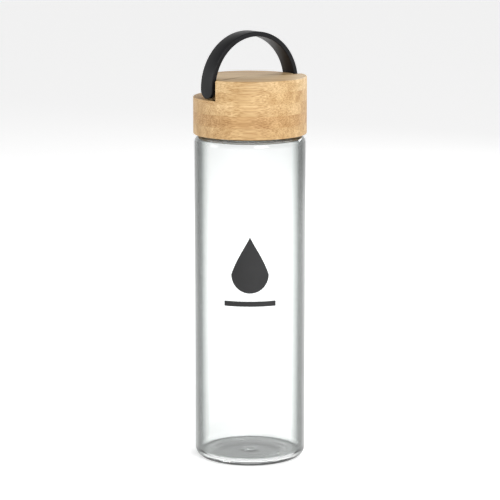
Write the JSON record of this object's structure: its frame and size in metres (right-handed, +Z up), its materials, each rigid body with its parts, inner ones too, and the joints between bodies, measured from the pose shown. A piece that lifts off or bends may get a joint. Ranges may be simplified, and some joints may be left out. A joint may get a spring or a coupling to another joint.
{
  "type": "glass water bottle",
  "caption": "Straight-sided clear glass water bottle with a screw lid of laminated bamboo and a fold-back swing handle.",
  "frame": {"origin": "centre of the base, on the plane it stands on", "axes": "+Z up along the bottle, X along the handle's pivots, the handle folds back towards +Y"},
  "size_m": [0.0692, 0.0692, 0.2636],
  "materials": {
    "glass": "clear polished soda-lime or borosilicate glass",
    "bamboo": "sanded laminated bamboo, light oil",
    "black_nylon": "fine moulded texture, satin black",
    "polypropylene": "natural moulded",
    "silicone": "soft matt",
    "acetal": "smooth moulded",
    "steel": "satin stainless"
  },
  "bodies": {
    "bottle": {"glass_bottle": "glass"},
    "seal": {"cap_gasket": "silicone"},
    "lid": {"cap_liner": "polypropylene", "lid_ply_1": "bamboo", "lid_ply_2": "bamboo", "lid_ply_3": "bamboo", "lid_ply_4": "bamboo", "lid_ply_5": "bamboo", "pivot_bush_left": "acetal", "pivot_bush_right": "acetal", "pivot_washer_left": "steel", "pivot_washer_right": "steel"},
    "handle": {"handle_strap": "black_nylon", "pivot_pin_left": "steel", "pivot_pin_right": "steel"}
  },
  "joints": [
    {"name": "lid_lift", "type": "slide", "parent": "bottle", "child": "seal", "axis": [0, 0, 1], "range_m": [0, 0.026]},
    {"name": "lid_turn", "type": "hinge", "parent": "seal", "child": "lid", "pos_m": [0, 0, 0.2015], "axis": [0, 0, 1], "range_deg": [0, 2340.1]},
    {"name": "handle_fold", "type": "hinge", "parent": "lid", "child": "handle", "pos_m": [0, 0, 0.2303], "axis": [-1, 0, 0], "range_deg": [-20, 90]}
  ],
  "couplings": [
    {"joint": "lid_turn", "follows": "lid_lift", "rad_per_m": 1570.8}
  ]
}
